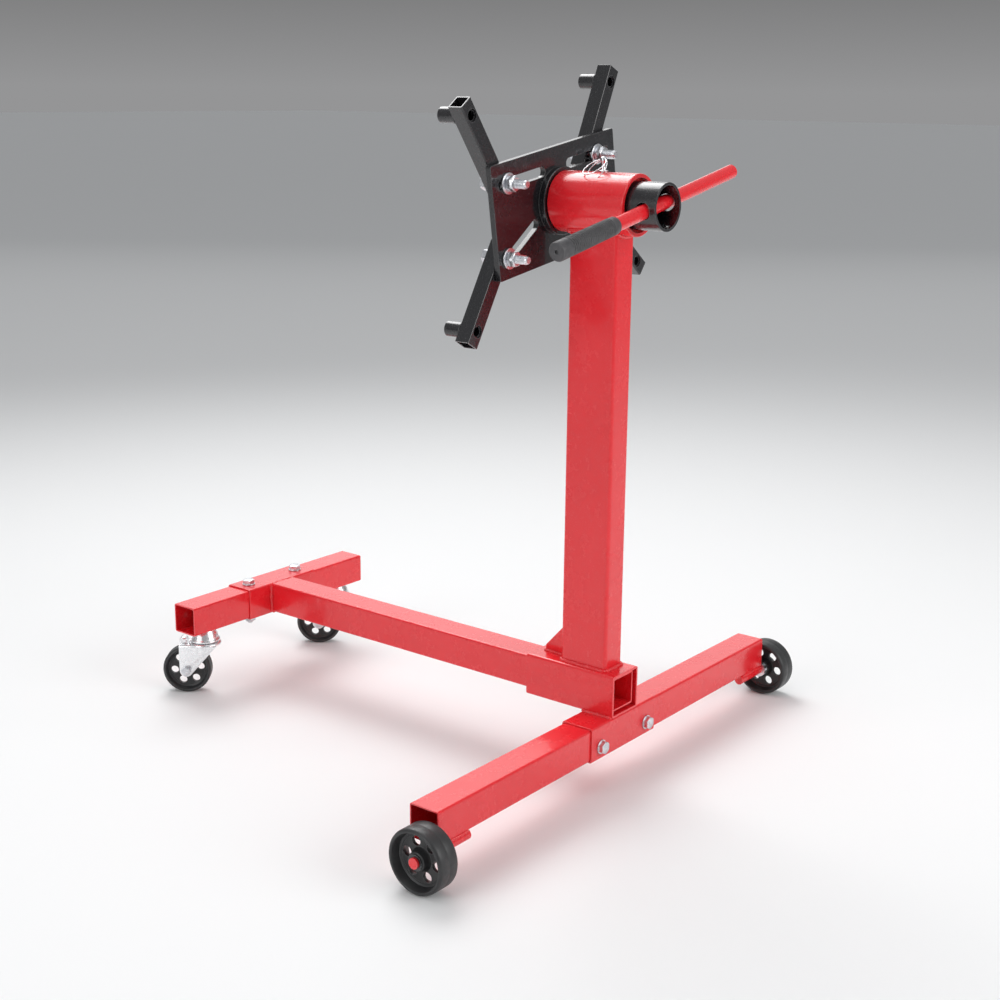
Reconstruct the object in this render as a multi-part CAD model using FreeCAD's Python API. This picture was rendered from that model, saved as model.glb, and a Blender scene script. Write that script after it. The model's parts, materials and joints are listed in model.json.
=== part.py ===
import FreeCAD, Part
import math
import os

# Engine stand: a T-shaped base of bolted square tube on two fixed wheels and two
# swivel casters, an upright post, and a turning head with four adjustable arms.
# Millimetres. +Z is up, +X runs along the rear bar, +Y points to the caster end.
# The origin is on the floor under the middle of the whole stand.

# ---- driving dimensions ----
rear_bar_y = -327.7             # rear bar's centre line, measured from the origin
front_bar_offset = 663.5        # from the rear bar's centre line to the front bar's
rear_bar_length = 780.0
front_bar_length = 370.0
bar_side = 45.0
bar_wall = 2.0
sleeve_side = 49.4
sleeve_wall = 2.0
rear_sleeve_length = 153.6
front_sleeve_length = 144.0
tube_corner = 3.0               # outside corner radius of the square tubes

wheel_radius = 42.0
wheel_width = 33.0
wheel_gap = 5.0                 # bar end to the wheel's inner face
axle_radius = 7.0
axle_y_offset = -17.0
axle_under_bar = 60.0

socket_side = 60.0
socket_wall = 3.0
socket_length = 146.5
base_tube_side = 47.5
base_tube_wall = 2.5
base_tube_inset = 3.0           # near end of the base tube inside the socket's mouth
base_tube_shift = 1.5           # the clamp bolt draws the tube to one side and up

post_width = 40.0
post_depth = 74.6
post_wall = 3.0
post_front_offset = -4.3        # post's handle-side face from the rear bar's centre
post_corner = 5.0

axis_height = 780.0             # centre line of the turning head
collar_radius = 39.5
collar_near_offset = -23.5
collar_length = 116.0
mouth_radius = 34.5
mouth_depth = 9.0
head_tube_radius = 30.5
head_tube_wall = 3.5
head_tube_near_offset = -65.7
running_clearance = 0.06
moving_gap = 0.3

flange_radius = 44.0
flange_thickness = 9.5
plate_thickness = 8.0
plate_width = 268.0
plate_height = 146.0
plate_drop = 3.0                # plate's middle below the head's centre line
slot_half_width = 6.75
level_slot_up = 43.0            # level slots above the head's centre line
level_slot_reach = (30.0, 114.0)
slant_slot_start = (53.5, -20.0)
slant_slot_end = (118.0, -52.25)
head_turn = 9.2                 # degrees that the head stands turned, +X side raised

arm_side = 22.0
arm_wall = 2.0
arm_bolt_to_end = 122.0
arm_bolt_to_sleeve = 102.5
arm_tail = 20.0
arm_sleeve_radius = 10.0
arm_sleeve_bore = 6.25
arm_sleeve_standout = 25.0
arm_access_radius = 8.2         # hole that lets a socket spanner reach the engine bolt

handle_radius = 9.25
handle_offset = -47.0
handle_near = 212.0
handle_far = 187.5
handle_lean = 2.1               # degrees that the rod leans in its loose holes
handle_hole_radius = 11.0
grip_length = 120.0
grip_radius = 12.0

pin_offset = 33.0
pin_radius = 5.0
pin_shoulder_radius = 6.0
pin_shoulder = 1.6
pin_neck_radius = 2.6
pin_knob_radius = 4.2
pin_neck_height = 15.0
pin_eye_turn = 20.0             # degrees that the cross hole is turned from +Y towards +X
ring_radius = 16.5
ring_wire_radius = 1.4
ring_droop = 36.0               # degrees that the ring hangs below level at rest

kingpin_x = 146.0
caster_wheel_radius = 37.5
caster_wheel_width = 24.0
caster_trail = 28.5
caster_swivel = 128.0           # degrees from +X to the trailing side
fork_plate = 2.5
fork_side_gap = 1.5
stud_radius = 5.0

# ---- levels worked out from them ----
rear_bar_z = wheel_radius + axle_radius + bar_side / 2
sleeve_top = rear_bar_z + sleeve_side / 2
socket_z = sleeve_top + socket_side / 2
socket_top = sleeve_top + socket_side
front_bar_y = rear_bar_y + front_bar_offset
front_bar_z = socket_z
front_bar_bottom = front_bar_z - bar_side / 2
collar_far_y = rear_bar_y + collar_near_offset + collar_length
plate_y = collar_far_y + 1.0 + flange_thickness
plate_back_y = plate_y + plate_thickness

X = FreeCAD.Vector(1, 0, 0)
Y = FreeCAD.Vector(0, 1, 0)
Z = FreeCAD.Vector(0, 0, 1)
CUT_EDGE = 0.5                  # deburred edge of every cut end
NODES = {}


def keep(name, *solids):
    """Store a node made of one solid, or of a group of separate ones."""
    NODES[name] = solids[0] if len(solids) == 1 else Part.makeCompound(list(solids))


def point(x, y, z):
    return FreeCAD.Vector(x, y, z)


def rod(radius, start, axis, length):
    """A round bar from a start point along an axis."""
    return Part.makeCylinder(radius, length, start, axis)


def ring(outer, inner, start, axis, length):
    """A round bar with a round hole through it."""
    return rod(outer, start, axis, length).cut(rod(inner, start, axis, length))


def bar_with_round_edges(size, centre, axis, corner):
    """A solid box whose four edges along the axis are rounded."""
    low = centre - FreeCAD.Vector(size) * 0.5
    box = Part.makeBox(size.x, size.y, size.z, low)
    along = [edge for edge in box.Edges if abs(edge.Curve.Direction.dot(axis)) > 0.99]
    return box.makeFillet(corner, along)


def with_round_rims(shape, radius, axis):
    """The same solid with every edge of its two end faces along the axis rounded."""
    rims = []
    for face in shape.Faces:
        flat = isinstance(face.Surface, Part.Plane)
        if flat and abs(face.normalAt(0, 0).dot(axis)) > 0.99:
            rims.extend(face.Edges)
    return shape.makeFillet(radius, rims)


def tube(size, centre, axis, wall, corner):
    """A rectangular tube: size is its outside box, axis the way that it runs."""
    outer = bar_with_round_edges(size, centre, axis, corner)
    outer = with_round_rims(outer, CUT_EDGE, axis)
    across = FreeCAD.Vector(2 * wall, 2 * wall, 2 * wall) - axis * (2 * wall + 2)
    inner = bar_with_round_edges(size - across, centre, axis, max(corner - wall, 0.6))
    return outer.cut(inner)


def hexagon(across_flats, start, axis, height):
    """A six-sided prism with its first face centred at the start point."""
    corners = []
    for step in range(7):
        angle = math.radians(60 * step + 30)
        reach = across_flats / math.sqrt(3)
        corners.append(point(reach * math.cos(angle), reach * math.sin(angle), 0))
    prism = Part.Face(Part.makePolygon(corners)).extrude(Z * height)
    turn = FreeCAD.Rotation(Z, axis)
    prism.Placement = FreeCAD.Placement(start, turn)
    return prism


def bolt(radius, across_flats, head, head_face, axis, length):
    """A hex bolt: the head's underside is at head_face, the shank runs along axis."""
    shank = rod(radius, head_face - axis, axis, length + 1)
    cap = hexagon(across_flats, head_face - axis * head, axis, head)
    return cap.fuse(shank).removeSplitter()


def nut(radius, across_flats, start, axis, height):
    """A hex nut with a bore just clear of its bolt."""
    bore = rod(radius + 0.02, start - axis, axis, height + 2)
    return hexagon(across_flats, start, axis, height).cut(bore)


def mirrored(shape):
    """The same shape on the other side of the stand's middle plane."""
    return shape.mirror(point(0, 0, 0), X)


# ---- base: bars, sleeves, socket and the bolts that hold them ----

FRAME_BOLT_RADIUS = 5.0
FRAME_BOLT_FLATS = 16.0
FRAME_BOLT_HEAD = 6.4
WASHER_RADIUS = 10.0
WASHER_THICKNESS = 2.0
NUT_HEIGHT = 8.4
rear_bolt_x = 55.0
rear_bolt_drop = 6.5
front_bolt_x = 51.0


def make_bars():
    """The two cross bars in their sleeves, drilled for the frame bolts."""
    rear_centre = point(0, rear_bar_y, rear_bar_z)
    front_centre = point(0, front_bar_y, front_bar_z)
    rear_size = point(rear_bar_length, bar_side, bar_side)
    front_size = point(front_bar_length, bar_side, bar_side)
    rear_sleeve_size = point(rear_sleeve_length, sleeve_side, sleeve_side)
    front_sleeve_size = point(front_sleeve_length, sleeve_side, sleeve_side)
    rear_bar = tube(rear_size, rear_centre, X, bar_wall, tube_corner)
    front_bar = tube(front_size, front_centre, X, bar_wall, tube_corner)
    rear_sleeve = tube(rear_sleeve_size, rear_centre, X, sleeve_wall, tube_corner)
    front_sleeve = tube(front_sleeve_size, front_centre, X, sleeve_wall, tube_corner)
    hole = FRAME_BOLT_RADIUS + 0.3
    for side in (-1, 1):
        start = point(side * rear_bolt_x, rear_bar_y - 40, rear_bar_z - rear_bolt_drop)
        drill = rod(hole, start, Y, 80)
        rear_bar = rear_bar.cut(drill)
        rear_sleeve = rear_sleeve.cut(drill)
        start = point(side * front_bolt_x, front_bar_y, front_bar_z - 40)
        drill = rod(hole, start, Z, 80)
        front_bar = front_bar.cut(drill)
        front_sleeve = front_sleeve.cut(drill)
        start = point(side * kingpin_x, front_bar_y, front_bar_bottom - 5)
        front_bar = front_bar.cut(rod(stud_radius + 0.3, start, Z, 15))
    keep("rear_bar", rear_bar)
    keep("rear_sleeve", rear_sleeve)
    keep("front_bar", front_bar)
    keep("front_sleeve", front_sleeve)


def make_frame_bolts():
    """Four hex bolts through the sleeves, each with two washers and a nut."""
    reach = sleeve_side / 2
    bolts = []
    washers = []
    nuts = []
    places = []
    for side in (-1, 1):
        rear = point(side * rear_bolt_x, rear_bar_y, rear_bar_z - rear_bolt_drop)
        places.append((rear, Y))
        places.append((point(side * front_bolt_x, front_bar_y, front_bar_z), Z * -1))
    for middle, axis in places:
        under_head = middle - axis * (reach + WASHER_THICKNESS)
        far_face = middle + axis * reach
        nut_face = far_face + axis * WASHER_THICKNESS
        length = 2 * (reach + WASHER_THICKNESS) + NUT_HEIGHT + 4
        bolts.append(bolt(FRAME_BOLT_RADIUS, FRAME_BOLT_FLATS, FRAME_BOLT_HEAD,
                          under_head, axis, length))
        hole = FRAME_BOLT_RADIUS + 0.2
        washers.append(ring(WASHER_RADIUS, hole, under_head, axis, WASHER_THICKNESS))
        washers.append(ring(WASHER_RADIUS, hole, far_face, axis, WASHER_THICKNESS))
        nuts.append(nut(FRAME_BOLT_RADIUS, FRAME_BOLT_FLATS, nut_face, axis, NUT_HEIGHT))
    keep("frame_bolts", *bolts)
    keep("frame_washers", *washers)
    keep("frame_nuts", *nuts)


def make_socket_and_base_tube():
    """The socket welded on the rear sleeve, the long base tube and its clamp bolt."""
    near_y = rear_bar_y - sleeve_side / 2
    centre = point(0, near_y + socket_length / 2, socket_z)
    size = point(socket_side, socket_length, socket_side)
    socket = tube(size, centre, Y, socket_wall, tube_corner + 1)
    clamp_y = near_y + socket_length - 40
    clamp_start = point(socket_side / 2 + 10, clamp_y, socket_z)
    clamp_radius = 5.0
    socket = socket.cut(rod(clamp_radius + 0.3, clamp_start, X * -1, 20))
    keep("base_socket", socket)
    tube_near = near_y + base_tube_inset
    tube_far = front_bar_y - sleeve_side / 2
    length = tube_far - tube_near
    size = point(base_tube_side, length, base_tube_side)
    shift = base_tube_shift
    centre = point(-shift, (tube_near + tube_far) / 2, socket_z + shift)
    keep("base_tube", tube(size, centre, Y, base_tube_wall, tube_corner))
    weld_nut = nut(clamp_radius, 16.0, point(socket_side / 2, clamp_y, socket_z), X, 8.0)
    keep("clamp_nut", weld_nut)
    tip = base_tube_side / 2 - shift
    under_head = point(tip + 32.0, clamp_y, socket_z)
    keep("clamp_bolt", bolt(clamp_radius, 16.0, 6.4, under_head, X * -1, 32.0))


# ---- upright: post, gusset and collar ----


def make_post_and_collar():
    """The post, cut to sit under the collar, with a gusset at its foot."""
    y0 = rear_bar_y + post_front_offset
    top = axis_height
    size = point(post_width, post_depth, top - socket_top)
    centre = point(0, y0 + post_depth / 2, (top + socket_top) / 2)
    collar_y = rear_bar_y + collar_near_offset
    collar_start = point(0, collar_y, axis_height)
    saddle = rod(collar_radius, collar_start, Y, collar_length)
    post = tube(size, centre, Z, post_wall, post_corner).cut(saddle)
    keep("post", post)

    collar = rod(collar_radius, collar_start, Y, collar_length)
    collar = with_round_rims(collar, 1.2, Y)
    bore = head_tube_radius + running_clearance
    collar = collar.cut(rod(bore, collar_start, Y, collar_length))
    collar = collar.cut(rod(mouth_radius, collar_start - Y, Y, mouth_depth + 1))
    pin_start = point(0, rear_bar_y + pin_offset, axis_height)
    collar = collar.cut(rod(pin_radius + running_clearance, pin_start, Z, 60))
    keep("collar", collar)

    gusset_height = 48.0
    gusset_reach = 38.0
    toe_height = 9.0
    thickness = 5.0
    y1 = y0 + post_depth
    outline = [
        point(0, y1, socket_top),
        point(0, y1 + gusset_reach, socket_top),
        point(0, y1 + gusset_reach, socket_top + toe_height),
        point(0, y1 + 3, socket_top + gusset_height),
        point(0, y1, socket_top + gusset_height),
        point(0, y1, socket_top),
    ]
    gusset = Part.Face(Part.makePolygon(outline)).extrude(X * thickness)
    gusset.translate(X * (-thickness / 2))
    keep("post_gusset", gusset)


# ---- rear wheels on stub axles welded under the rear bar ----

WHEEL_HOLES = 6


def make_wheel(radius, width, hub_radius, hub_length, bore, hole_radius, hole_circle):
    """A moulded wheel about the X axis.

    The rim is thick at the tread and the thin web sits deep inside it, the same
    on both faces."""
    rim_inner = radius - 5.5
    web = 4.5
    half = width / 2
    profile = [
        (bore, -hub_length / 2),
        (hub_radius, -hub_length / 2),
        (hub_radius + 1.5, -web / 2),
        (rim_inner - 3, -web / 2),
        (rim_inner, -half + 1),
        (rim_inner + 1, -half),
        (radius - 2.5, -half),
        (radius, -half + 3),
        (radius, half - 3),
        (radius - 2.5, half),
        (rim_inner + 1, half),
        (rim_inner, half - 1),
        (rim_inner - 3, web / 2),
        (hub_radius + 1.5, web / 2),
        (hub_radius, hub_length / 2),
        (bore, hub_length / 2),
        (bore, -hub_length / 2),
    ]
    face = Part.Face(Part.makePolygon([point(x, 0, r) for r, x in profile]))
    wheel = face.revolve(point(0, 0, 0), X, 360)
    for step in range(WHEEL_HOLES):
        angle = math.radians(step * 360 / WHEEL_HOLES + 8)
        middle = point(-10, hole_circle * math.cos(angle), hole_circle * math.sin(angle))
        wheel = wheel.cut(rod(hole_radius, middle, X, 20))
    return wheel


def make_rear_wheels():
    """One stub axle, wheel, spacing washer and retaining ring on each side."""
    axle_y = rear_bar_y + axle_y_offset
    bar_end = rear_bar_length / 2
    inner_face = bar_end + wheel_gap
    wheel_middle = inner_face + wheel_width / 2
    hub_length = 26.0
    hub_end = wheel_middle + hub_length / 2
    clip_gap = 0.5
    clip_thickness = 1.4
    axle_start = bar_end - axle_under_bar
    axle_end = hub_end + clip_gap + clip_thickness + 3.0
    start = point(-axle_start, axle_y, wheel_radius)
    axle = rod(axle_radius, start, X * -1, axle_end - axle_start)
    clip_face = point(-(hub_end + clip_gap), axle_y, wheel_radius)
    groove = ring(axle_radius + 1, axle_radius - 0.8, clip_face, X * -1, clip_thickness)
    axle = axle.cut(groove)
    keep("axle_left", axle)
    keep("axle_right", mirrored(axle))

    clip = ring(axle_radius + 3.5, axle_radius - 0.75, clip_face, X * -1, clip_thickness)
    slot = Part.makeBox(4, 8, 14, point(clip_face.x - 3, axle_y - 4, wheel_radius - 13.5))
    clip = clip.cut(slot)
    keep("axle_clips", clip, mirrored(clip))

    hub_inner = wheel_middle - hub_length / 2
    washer_thickness = hub_inner - bar_end - 1.0
    washer_face = point(-(bar_end + 0.5), axle_y, wheel_radius)
    bore = axle_radius + 0.05
    washer = ring(axle_radius + 4.5, bore, washer_face, X * -1, washer_thickness)
    keep("axle_washers", washer, mirrored(washer))

    wheel = make_wheel(wheel_radius, wheel_width, 12.5, hub_length,
                       axle_radius + running_clearance, 6.6, 23.0)
    wheel.translate(point(-wheel_middle, axle_y, wheel_radius))
    keep("rear_wheel_left", wheel)
    keep("rear_wheel_right", mirrored(wheel))


# ---- swivel casters under the front bar ----


def make_fork(crown_bottom, race_top):
    """A pressed fork about the kingpin at the origin, trailing towards +X."""
    crown_top = crown_bottom + 3.0
    inner = caster_wheel_width / 2 + fork_side_gap
    outer = inner + fork_plate
    eye = 10.0
    axle_z = caster_wheel_radius
    back = -19.0
    front = caster_trail + eye
    # The leg's slanted edge leaves the back corner and touches the round eye.
    corner = point(back, 0, crown_bottom)
    centre = point(caster_trail, 0, axle_z)
    to_eye = centre - corner
    distance = to_eye.Length
    bearing = math.atan2(to_eye.z, to_eye.x) - math.asin(eye / distance)
    run = math.sqrt(distance ** 2 - eye ** 2)
    touch = corner + point(math.cos(bearing), 0, math.sin(bearing)) * run
    swing = math.radians(-45)
    low = centre + point(math.cos(swing), 0, math.sin(swing)) * eye
    edges = [
        Part.LineSegment(point(back, 0, crown_top), corner).toShape(),
        Part.LineSegment(corner, touch).toShape(),
        Part.Arc(touch, low, centre + X * eye).toShape(),
        Part.LineSegment(centre + X * eye, point(front, 0, crown_top)).toShape(),
        Part.LineSegment(point(front, 0, crown_top), point(back, 0, crown_top)).toShape(),
    ]
    leg = Part.Face(Part.Wire(edges)).extrude(Y * fork_plate)
    leg_low = leg.translated(Y * -outer)
    leg_high = leg.translated(Y * inner)
    crown = Part.makeBox(front - back, 2 * outer, 3.0, point(back, -outer, crown_bottom))
    dome = Part.makeCone(25.0, 22.5, race_top - crown_top, point(0, 0, crown_top))
    lip = rod(6.0, point(caster_trail + 4.5, -9, crown_top + 3.5), Y, 18)
    fork = crown.fuse([leg_low, leg_high, dome, lip]).removeSplitter()
    fork = fork.cut(rod(stud_radius + running_clearance, point(0, 0, 0), Z, 200))
    axle_hole = rod(4.0 + 0.1, point(caster_trail, -40, axle_z), Y, 80)
    return fork.cut(axle_hole)


def place_caster(shape, side):
    """Turn a caster piece to the way that it trails and move it under the bar."""
    turned = shape.copy()
    turned.rotate(point(0, 0, 0), Z, caster_swivel)
    turned.translate(point(side * kingpin_x, front_bar_y, 0))
    return turned


def make_casters():
    """Stud, race, fork, wheel and wheel bolt of both casters."""
    crown_bottom = 2 * caster_wheel_radius + 2.0
    race_top = crown_bottom + 6.0
    race_bottom = race_top + 1.0
    outer = caster_wheel_width / 2 + fork_side_gap + fork_plate

    studs = []
    races = []
    stud_nuts = []
    for side in (-1, 1):
        base = point(side * kingpin_x, front_bar_y, 0)
        head_z = crown_bottom - 4.6
        stud = rod(stud_radius, base + Z * head_z, Z, front_bar_bottom + 18 - head_z)
        stud = stud.fuse(rod(8.0, base + Z * head_z, Z, 4.3)).removeSplitter()
        studs.append(stud)
        race_height = front_bar_bottom - race_bottom
        race = Part.makeCone(23.5, 22.0, 6.0, base + Z * race_bottom)
        upper = Part.makeCone(22.0, 16.0, race_height - 6.0, base + Z * (race_bottom + 6.0))
        race = race.fuse(upper).removeSplitter()
        race = race.cut(rod(stud_radius + 0.02, base, Z, 200))
        races.append(race)
        inside = front_bar_bottom + bar_wall
        stud_nuts.append(nut(stud_radius, 16.0, base + Z * inside, Z, 8.4))
    keep("caster_studs", *studs)
    keep("caster_races", *races)
    keep("caster_stud_nuts", *stud_nuts)

    fork = make_fork(crown_bottom, race_top)
    wheel = make_wheel(caster_wheel_radius, caster_wheel_width, 9.5, 26.0,
                       4.0 + running_clearance, 6.0, 20.5)
    wheel.rotate(point(0, 0, 0), Z, 90)
    wheel.translate(point(caster_trail, 0, caster_wheel_radius))
    axle_at = point(caster_trail, 0, caster_wheel_radius)
    head_side = Y * outer
    wheel_bolt = bolt(4.0, 13.0, 5.3, axle_at + head_side, Y * -1, 2 * outer + 10.5)
    wheel_nut = nut(4.0, 13.0, axle_at - head_side, Y * -1, 6.8)
    for side, name in ((-1, "left"), (1, "right")):
        keep("caster_fork_" + name, place_caster(fork, side))
        keep("caster_wheel_" + name, place_caster(wheel, side))
        keep("caster_axle_" + name, place_caster(wheel_bolt, side))
        keep("caster_axle_nut_" + name, place_caster(wheel_nut, side))


# ---- turning head: tube, flange, plate, handle and arms ----
# These are drawn level and then turned about the collar's centre line.


def turn_head(shape):
    """Turn a level head piece to the way that the head stands at rest."""
    turned = shape.copy()
    turned.rotate(point(0, 0, axis_height), Y, -head_turn)
    return turned


def slot_cutter(start, end):
    """A round-ended slot between two arc centres given across and up the plate."""
    along = FreeCAD.Vector(end[0] - start[0], 0, end[1] - start[1])
    length = along.Length
    along.normalize()
    side = along.cross(Y) * slot_half_width
    first = point(start[0], plate_y - 1, axis_height + start[1])
    second = first + along * length
    corners = [first + side, second + side, second - side, first - side, first + side]
    block = Part.Face(Part.makePolygon(corners)).extrude(Y * (plate_thickness + 2))
    ends = [rod(slot_half_width, p, Y, plate_thickness + 2) for p in (first, second)]
    return block.fuse(ends).removeSplitter()


def make_head():
    """The tube that turns in the collar, its flange and the slotted plate."""
    tube_near = rear_bar_y + head_tube_near_offset
    length = plate_y - tube_near
    start = point(0, tube_near, axis_height)
    inner = head_tube_radius - head_tube_wall
    head_tube = with_round_rims(rod(head_tube_radius, start, Y, length), CUT_EDGE, Y)
    head_tube = head_tube.cut(rod(inner, start, Y, length))
    handle_y = rear_bar_y + handle_offset
    cross = rod(handle_hole_radius, point(-60, handle_y, axis_height), X, 120)
    head_tube = head_tube.cut(cross)
    lock_holes = 8
    for step in range(lock_holes):
        angle = math.radians(step * 360 / lock_holes + head_turn)
        away = point(math.sin(angle), 0, math.cos(angle))
        middle = point(0, rear_bar_y + pin_offset, axis_height)
        head_tube = head_tube.cut(rod(pin_radius + 0.3, middle, away, 40))
    keep("head_tube", turn_head(head_tube))

    flange_start = point(0, collar_far_y + 1.0, axis_height)
    flange = with_round_rims(rod(flange_radius, flange_start, Y, flange_thickness), 1.0, Y)
    flange = flange.cut(rod(head_tube_radius, flange_start, Y, flange_thickness))
    keep("head_flange", turn_head(flange))

    size = point(plate_width, plate_thickness, plate_height)
    centre = point(0, plate_y + plate_thickness / 2, axis_height - plate_drop)
    plate = bar_with_round_edges(size, centre, Y, 3.0)
    for side in (-1, 1):
        inner_end, outer_end = (side * reach for reach in level_slot_reach)
        plate = plate.cut(slot_cutter((inner_end, level_slot_up), (outer_end, level_slot_up)))
        slant = [(side * across, up) for across, up in (slant_slot_start, slant_slot_end)]
        plate = plate.cut(slot_cutter(*slant))
    keep("head_plate", turn_head(with_round_rims(plate, CUT_EDGE, Y)))


def make_handle():
    """The loose cross bar in the head tube, with a rubber grip on its near end."""
    handle_y = rear_bar_y + handle_offset
    bar = rod(handle_radius, point(-handle_near + 3, handle_y, axis_height), X,
              handle_near - 3 + handle_far)
    bar = bar.makeChamfer(1.0, [bar.Edges[0], bar.Edges[2]])
    grip_start = point(-handle_near, handle_y, axis_height)
    grip = Part.makeCone(grip_radius, grip_radius - 1.0, grip_length, grip_start, X)
    grip = grip.cut(rod(handle_radius, grip_start + X * 3, X, grip_length))
    grip = grip.cut(rod(2.0, grip_start - X, X, 6))
    for name, shape in (("handle_bar", bar), ("handle_grip", grip)):
        shape.rotate(point(0, handle_y, axis_height), Y, -handle_lean)
        keep(name, turn_head(shape))


ARM_BOLT_RADIUS = 6.0
ARM_BOLT_FLATS = 18.0
ARM_BOLT_HEAD = 7.5
ARM_WASHER_RADIUS = 13.5
ARM_WASHER = 2.5
ARM_NUT = 10.5
ARM_BOLT_END = 31.5             # thread end in front of the plate's face


def make_arm(name, across, up, direction):
    """One arm, its sleeve for an engine bolt, and the bolt that clamps it.

    across and up place the clamp bolt on the plate; direction is in degrees."""
    front = plate_back_y + moving_gap
    back = front + arm_side
    bolt_at = point(0, 0, 0)
    length = arm_bolt_to_end + arm_tail
    centre = point((arm_bolt_to_end - arm_tail) / 2, (front + back) / 2, 0)
    arm = tube(point(length, arm_side, arm_side), centre, X, arm_wall, 2.0)
    arm = arm.cut(rod(ARM_BOLT_RADIUS + running_clearance, bolt_at + Y * (front - 1), Y, 30))
    sleeve_at = point(arm_bolt_to_sleeve, 0, 0)
    sleeve_start = front + arm_wall
    sleeve_length = back + arm_sleeve_standout - sleeve_start
    arm = arm.cut(rod(arm_access_radius, sleeve_at + Y * (front - 1), Y, 6))
    arm = arm.cut(rod(arm_sleeve_radius, sleeve_at + Y * sleeve_start, Y, sleeve_length))
    sleeve = ring(arm_sleeve_radius, arm_sleeve_bore, sleeve_at + Y * sleeve_start, Y,
                  sleeve_length)
    under_head = bolt_at + Y * (back + moving_gap)
    washer_face = plate_y - moving_gap
    thread_end = plate_y - ARM_BOLT_END
    clamp_bolt = bolt(ARM_BOLT_RADIUS, ARM_BOLT_FLATS, ARM_BOLT_HEAD, under_head, Y * -1,
                      under_head.y - thread_end)
    washer = ring(ARM_WASHER_RADIUS, ARM_BOLT_RADIUS + 0.2, bolt_at + Y * washer_face,
                  Y * -1, ARM_WASHER)
    nut_face = bolt_at + Y * (washer_face - ARM_WASHER)
    clamp_nut = nut(ARM_BOLT_RADIUS, ARM_BOLT_FLATS, nut_face, Y * -1, ARM_NUT)
    pieces = {
        "arm_": arm,
        "arm_sleeve_": sleeve,
        "arm_bolt_": clamp_bolt,
        "arm_washer_": washer,
        "arm_nut_": clamp_nut,
    }
    for prefix, shape in pieces.items():
        shape.rotate(point(0, 0, 0), Y, -direction)
        shape.translate(point(across, 0, axis_height + up))
        keep(prefix + name, turn_head(shape))


def make_lock_pin():
    """The pull pin that stands in the collar's top hole, and its split ring."""
    at = point(0, rear_bar_y + pin_offset, axis_height)
    tip = at + Z * (head_tube_radius + moving_gap)
    shoulder_z = collar_radius + moving_gap
    shank = rod(pin_radius, tip, Z, shoulder_z - head_tube_radius - moving_gap + 1)
    shoulder = rod(pin_shoulder_radius, at + Z * shoulder_z, Z, pin_shoulder)
    neck = rod(pin_neck_radius, at + Z * shoulder_z, Z, pin_neck_height)
    eye = at + Z * (shoulder_z + pin_neck_height)
    knob = Part.makeSphere(pin_knob_radius, eye)
    pin = shank.fuse([shoulder, neck, knob]).removeSplitter()
    eye_turn = math.radians(pin_eye_turn)
    through = point(math.sin(eye_turn), math.cos(eye_turn), 0)
    pin = pin.cut(rod(ring_wire_radius + 0.7, eye - through * 10, through, 20))
    keep("lock_pin", pin)
    droop = math.radians(ring_droop)
    away = through.cross(Z) * -math.cos(droop) - Z * math.sin(droop)
    normal = away.cross(through)
    centre = eye + away * ring_radius
    keep("lock_ring", Part.makeTorus(ring_radius, ring_wire_radius, centre, normal))


make_bars()
make_frame_bolts()
make_socket_and_base_tube()
make_post_and_collar()
make_rear_wheels()
make_casters()
make_head()
make_handle()
make_arm("upper_left", -102.7, level_slot_up, 117.0)
make_arm("upper_right", 92.3, level_slot_up, 56.5)
make_arm("lower_left", -113.5, -50.0, 230.5)
make_arm("lower_right", 117.0, -51.75, 313.0)
make_lock_pin()

os.makedirs("parts", exist_ok=True)
for node_name, shape in NODES.items():
    shape.exportStep("parts/" + node_name + ".step")
whole = Part.makeCompound(list(NODES.values())).optimalBoundingBox()
print(len(NODES), "nodes")
print("x", round(whole.XMin, 2), round(whole.XMax, 2))
print("y", round(whole.YMin, 2), round(whole.YMax, 2))
print("z", round(whole.ZMin, 2), round(whole.ZMax, 2))
for node_name, shape in NODES.items():
    if not shape.isValid() or shape.Volume <= 0:
        print("bad shape", node_name)
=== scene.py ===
import json
from math import atan2, cos, hypot, pi, radians, sin, sqrt

import bmesh
import bpy
from mathutils import Matrix, Vector


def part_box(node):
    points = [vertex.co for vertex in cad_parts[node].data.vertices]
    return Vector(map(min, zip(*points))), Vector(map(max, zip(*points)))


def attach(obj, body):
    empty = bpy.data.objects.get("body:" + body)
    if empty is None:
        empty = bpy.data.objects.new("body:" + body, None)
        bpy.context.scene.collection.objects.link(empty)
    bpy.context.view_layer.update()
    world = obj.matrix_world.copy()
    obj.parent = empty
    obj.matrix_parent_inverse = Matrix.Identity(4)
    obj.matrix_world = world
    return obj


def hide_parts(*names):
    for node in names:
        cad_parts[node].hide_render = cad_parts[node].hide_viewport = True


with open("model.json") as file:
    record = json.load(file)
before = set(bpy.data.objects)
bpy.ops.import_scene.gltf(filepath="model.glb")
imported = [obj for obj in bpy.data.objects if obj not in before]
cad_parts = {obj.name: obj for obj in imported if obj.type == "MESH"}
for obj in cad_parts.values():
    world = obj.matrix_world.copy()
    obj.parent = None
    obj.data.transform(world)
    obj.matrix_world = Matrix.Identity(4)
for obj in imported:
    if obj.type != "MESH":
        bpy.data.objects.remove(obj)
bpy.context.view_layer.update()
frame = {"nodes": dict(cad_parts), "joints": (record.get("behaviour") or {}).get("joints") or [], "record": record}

# ---- Camera, floor and lights ----
# The stand is looked at from its handle end and a little above. It stands on a
# pale floor under one wide soft light, with a weaker one on each side.

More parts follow.
